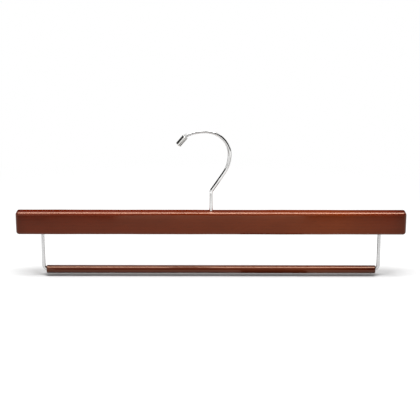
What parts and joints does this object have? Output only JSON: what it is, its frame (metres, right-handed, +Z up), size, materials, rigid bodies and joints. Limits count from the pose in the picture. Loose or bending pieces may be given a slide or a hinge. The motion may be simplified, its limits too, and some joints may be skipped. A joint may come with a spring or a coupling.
{
  "type": "trouser hanger",
  "caption": "Straight wooden batten with a swivelling wire hook and a round trouser bar hung below it on bent wire arms",
  "frame": {"origin": "the hook's seat: the highest point of the inside of the hook's crown, where it bears on a rail", "axes": "+X along the batten from the hook's open side to its closed side, +Y through the batten's thickness, +Z up"},
  "size_m": [0.38, 0.012, 0.1462],
  "materials": {
    "stained_wood": "red-brown stain under gloss lacquer",
    "dowel_wood": "red-brown stain under gloss lacquer",
    "hook_chrome": "bright plate on steel wire",
    "cap_chrome": "bright plate",
    "washer_chrome": "bright plate on steel",
    "arm_wire": "satin plate on steel wire"
  },
  "bodies": {
    "hook": {"hook_wire": "hook_chrome", "hook_tip_cap": "cap_chrome"},
    "frame": {"top_bar": "stained_wood", "hook_washer": "washer_chrome", "left_arm": "arm_wire", "right_arm": "arm_wire"},
    "dowel": {"trouser_bar": "dowel_wood"}
  },
  "joints": [
    {"name": "hook_swivel", "type": "hinge", "parent": "hook", "child": "frame", "pos_m": [0.00539, 0, -0.07819], "axis": [0, 0, 1], "continuous": true},
    {"name": "trouser_bar_roll", "type": "hinge", "parent": "frame", "child": "dowel", "pos_m": [0.00539, 0, -0.13869], "axis": [1, 0, 0], "continuous": true}
  ]
}
